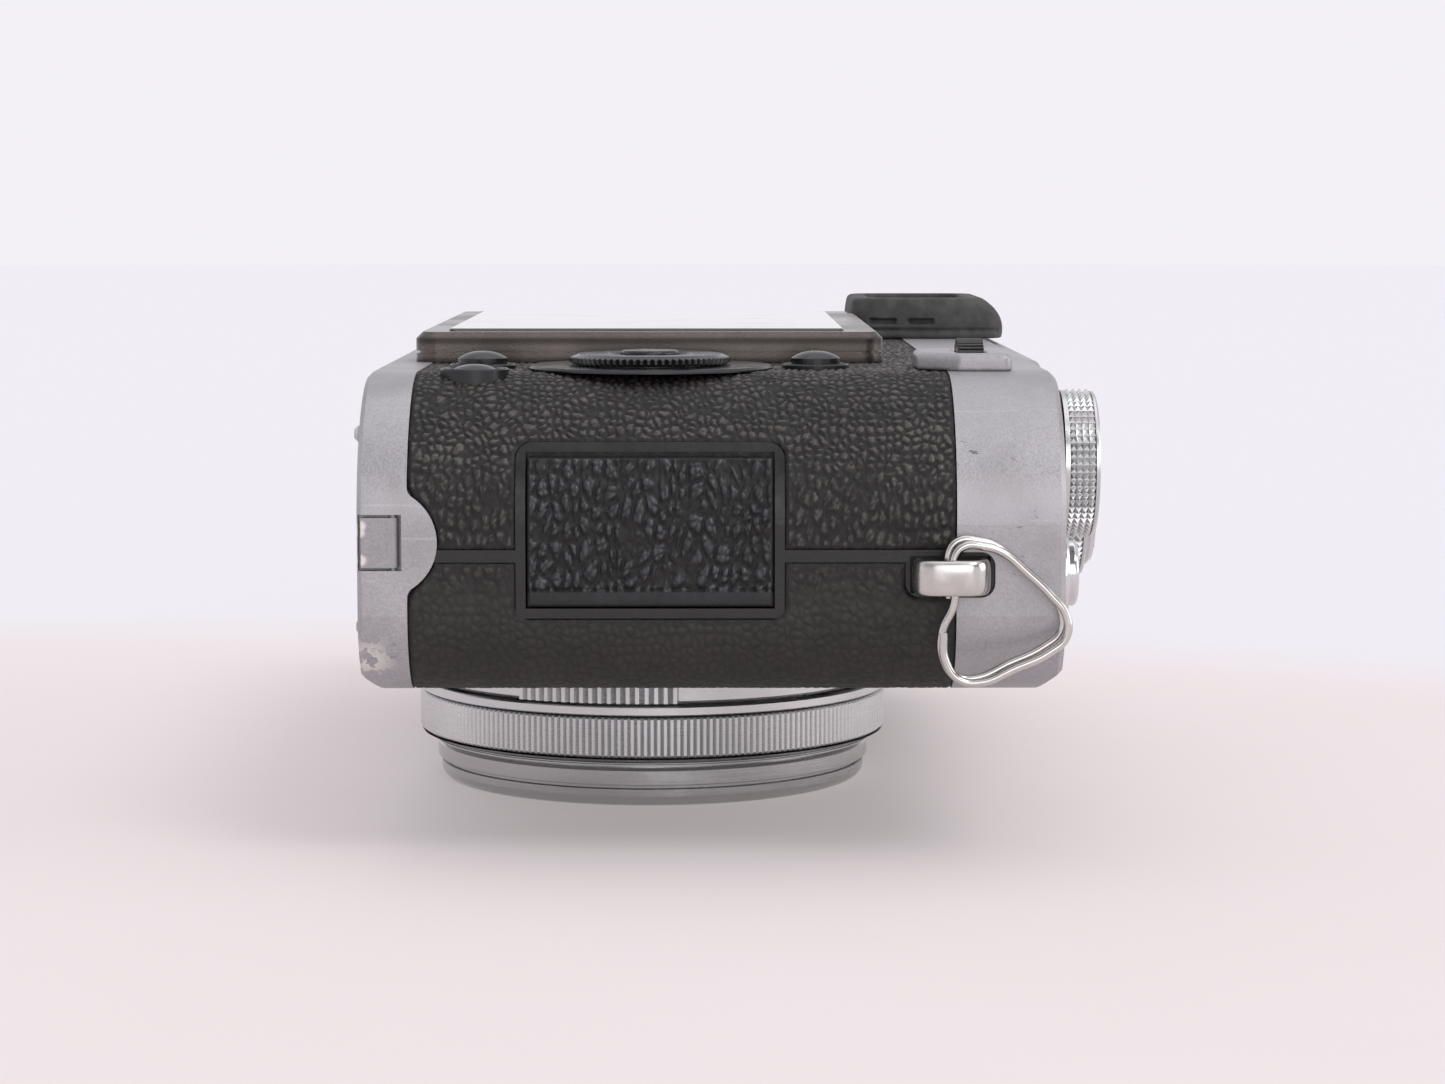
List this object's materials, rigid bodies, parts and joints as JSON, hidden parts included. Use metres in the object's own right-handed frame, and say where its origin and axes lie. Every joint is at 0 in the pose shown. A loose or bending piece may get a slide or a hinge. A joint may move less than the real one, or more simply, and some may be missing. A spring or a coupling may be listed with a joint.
{
  "type": "digital camera",
  "caption": "Compact fixed-lens digital camera in rangefinder style, silver covers over black leatherette, lying on the rim of its lens.",
  "frame": {"origin": "centre of the lens's front rim, on the optical axis, in the plane the camera rests on", "axes": "+Z along the optical axis to the back of the camera (up as it lies), +X to the top plate, +Y to the viewfinder end"},
  "size_m": [0.0748, 0.1335, 0.0533],
  "materials": {
    "silver": "satin",
    "leather": "matte",
    "black_paint": "satin",
    "black_plastic": "matte",
    "gloss_black": "gloss",
    "rubber": "matte",
    "aluminium": "satin",
    "chrome": "polished",
    "steel": "satin",
    "glass": "polished",
    "screen": "gloss",
    "board": "matte",
    "cell": "matte",
    "white_plastic": "gloss"
  },
  "bodies": {
    "camera_body": {"base_feet": "black_plastic", "base_screws": "steel", "battery": "cell", "bottom_cover": "silver", "card_cage": "black_plastic", "chassis": "aluminium", "control_trim": "black_paint", "eyecup": "rubber", "finder_glass": "glass", "finder_housing": "black_plastic", "flash_window": "white_plastic", "focus_lamp": "white_plastic", "front_element": "glass", "front_rim": "aluminium", "front_shell": "black_plastic", "hot_shoe": "steel", "leather": "leather", "lens_bezel": "black_paint", "lens_nose": "aluminium", "lens_tube": "aluminium", "lever_housing": "silver", "lug_liners": "black_plastic", "main_board": "board", "memory_card": "cell", "rear_element": "glass", "rear_shell": "black_plastic", "screen_frame": "black_paint", "screen_glass": "screen", "seam_trim": "black_paint", "sensor": "glass", "shoe_contacts": "black_plastic", "sockets": "steel", "strap_lugs": "chrome", "top_cover": "silver", "tripod_socket": "steel"},
    "aperture_ring": {"aperture_ring": "aluminium"},
    "battery_hatch": {"battery_hatch": "silver"},
    "cable_flap": {"cable_flap": "silver"},
    "command_lever": {"command_lever": "black_plastic"},
    "diopter_dial": {"diopter_dial": "black_plastic"},
    "display_button": {"display_button": "gloss_black"},
    "exposure_dial": {"exposure_dial": "aluminium"},
    "finder_selector": {"finder_selector": "aluminium"},
    "focus_button": {"focus_button": "gloss_black"},
    "focus_ring": {"focus_ring": "aluminium"},
    "function_button": {"function_button": "aluminium"},
    "hatch_latch": {"hatch_latch": "black_plastic"},
    "lock_button": {"lock_button": "gloss_black"},
    "menu_button": {"menu_button": "black_paint"},
    "meter_button": {"meter_button": "gloss_black"},
    "play_button": {"play_button": "gloss_black"},
    "port_door": {"port_door": "leather"},
    "power_switch": {"power_switch": "chrome"},
    "quick_button": {"quick_button": "gloss_black"},
    "shutter_button": {"shutter_button": "chrome"},
    "shutter_dial": {"shutter_dial": "aluminium"},
    "strap_ring_far": {"strap_ring_far": "chrome"},
    "strap_ring_grip": {"strap_ring_grip": "chrome"},
    "view_button": {"view_button": "gloss_black"},
    "wheel": {"wheel": "black_paint"}
  },
  "joints": [
    {"name": "exposure_turn", "type": "hinge", "parent": "camera_body", "child": "exposure_dial", "pos_m": [0.042, -0.0476, 0.0386], "axis": [1, 0, 0], "range_deg": [-110, 110]},
    {"name": "shutter_turn", "type": "hinge", "parent": "camera_body", "child": "shutter_dial", "pos_m": [0.042, -0.022, 0.0338], "axis": [1, 0, 0], "range_deg": [-160, 160]},
    {"name": "power_turn", "type": "hinge", "parent": "camera_body", "child": "power_switch", "pos_m": [0.041, -0.041, 0.0271], "axis": [1, 0, 0], "range_deg": [0, 32]},
    {"name": "release_press", "type": "slide", "parent": "camera_body", "child": "shutter_button", "axis": [-1, 0, 0], "range_m": [0, 0.0007], "stiffness_N_per_m": 400, "springref_m": -0.0002},
    {"name": "function_press", "type": "slide", "parent": "camera_body", "child": "function_button", "axis": [-1, 0, 0], "range_m": [0, 0.0003], "stiffness_N_per_m": 400, "springref_m": -0.0002},
    {"name": "lever_tilt", "type": "hinge", "parent": "camera_body", "child": "command_lever", "pos_m": [0.0327, -0.03675, 0.0463], "axis": [1, 0, 0], "range_deg": [-8, 8], "stiffness_Nm_per_rad": 0.03},
    {"name": "wheel_turn", "type": "hinge", "parent": "camera_body", "child": "wheel", "pos_m": [0.0004, -0.0374, 0.048], "axis": [0, 0, 1], "continuous": true},
    {"name": "menu_press", "type": "slide", "parent": "camera_body", "child": "menu_button", "axis": [0, 0, -1], "range_m": [0, 0.0004], "stiffness_N_per_m": 400, "springref_m": -0.0002},
    {"name": "lock_press", "type": "slide", "parent": "camera_body", "child": "lock_button", "axis": [0, 0, -1], "range_m": [0, 0.0004], "stiffness_N_per_m": 400, "springref_m": -0.0002},
    {"name": "display_press", "type": "slide", "parent": "camera_body", "child": "display_button", "axis": [0, 0, -1], "range_m": [0, 0.0004], "stiffness_N_per_m": 400, "springref_m": -0.0002},
    {"name": "quick_press", "type": "slide", "parent": "camera_body", "child": "quick_button", "axis": [0, 0, -1], "range_m": [0, 0.0004], "stiffness_N_per_m": 400, "springref_m": -0.0002},
    {"name": "play_press", "type": "slide", "parent": "camera_body", "child": "play_button", "axis": [0, 0, -1], "range_m": [0, 0.0004], "stiffness_N_per_m": 400, "springref_m": -0.0002},
    {"name": "meter_press", "type": "slide", "parent": "camera_body", "child": "meter_button", "axis": [0, 0, -1], "range_m": [0, 0.0004], "stiffness_N_per_m": 400, "springref_m": -0.0002},
    {"name": "focus_press", "type": "slide", "parent": "camera_body", "child": "focus_button", "axis": [0, 0, -1], "range_m": [0, 0.0004], "stiffness_N_per_m": 400, "springref_m": -0.0002},
    {"name": "view_press", "type": "slide", "parent": "camera_body", "child": "view_button", "axis": [0, 0, -1], "range_m": [0, 0.0004], "stiffness_N_per_m": 400, "springref_m": -0.0002},
    {"name": "diopter_turn", "type": "hinge", "parent": "camera_body", "child": "diopter_dial", "pos_m": [0.0354, 0.0626, 0.046], "axis": [0, 0, 1], "range_deg": [-60, 60]},
    {"name": "selector_swing", "type": "hinge", "parent": "camera_body", "child": "finder_selector", "pos_m": [0.0246, -0.031, 0.0156], "axis": [0, 0, 1], "range_deg": [-20, 20], "stiffness_Nm_per_rad": 0.05},
    {"name": "aperture_turn", "type": "hinge", "parent": "camera_body", "child": "aperture_ring", "pos_m": [0, 0, 0.014], "axis": [0, 0, 1], "range_deg": [-20, 50]},
    {"name": "focus_turn", "type": "hinge", "parent": "camera_body", "child": "focus_ring", "pos_m": [0, 0, 0.0077], "axis": [0, 0, 1], "continuous": true},
    {"name": "door_swing", "type": "hinge", "parent": "camera_body", "child": "port_door", "pos_m": [0.0007, -0.056, 0.0391], "axis": [-1, 0, 0], "range_deg": [0, 100]},
    {"name": "hatch_swing", "type": "hinge", "parent": "camera_body", "child": "battery_hatch", "pos_m": [-0.0267, -0.0213, 0.0321], "axis": [0, 0, -1], "range_deg": [0, 95]},
    {"name": "latch_slide", "type": "slide", "parent": "battery_hatch", "child": "hatch_latch", "axis": [0, 1, 0], "range_m": [0, 0.001]},
    {"name": "flap_swing", "type": "hinge", "parent": "camera_body", "child": "cable_flap", "pos_m": [-0.02395, -0.0574, 0.0318], "axis": [0, 0, 1], "range_deg": [0, 95]},
    {"name": "grip_ring_swing", "type": "hinge", "parent": "camera_body", "child": "strap_ring_grip", "pos_m": [0.0295, -0.05975, 0.0287], "axis": [0, 0, -1], "range_deg": [0, 140]},
    {"name": "far_ring_swing", "type": "hinge", "parent": "camera_body", "child": "strap_ring_far", "pos_m": [0.0295, 0.07025, 0.0287], "axis": [0, 0, 1], "range_deg": [0, 140]}
  ]
}
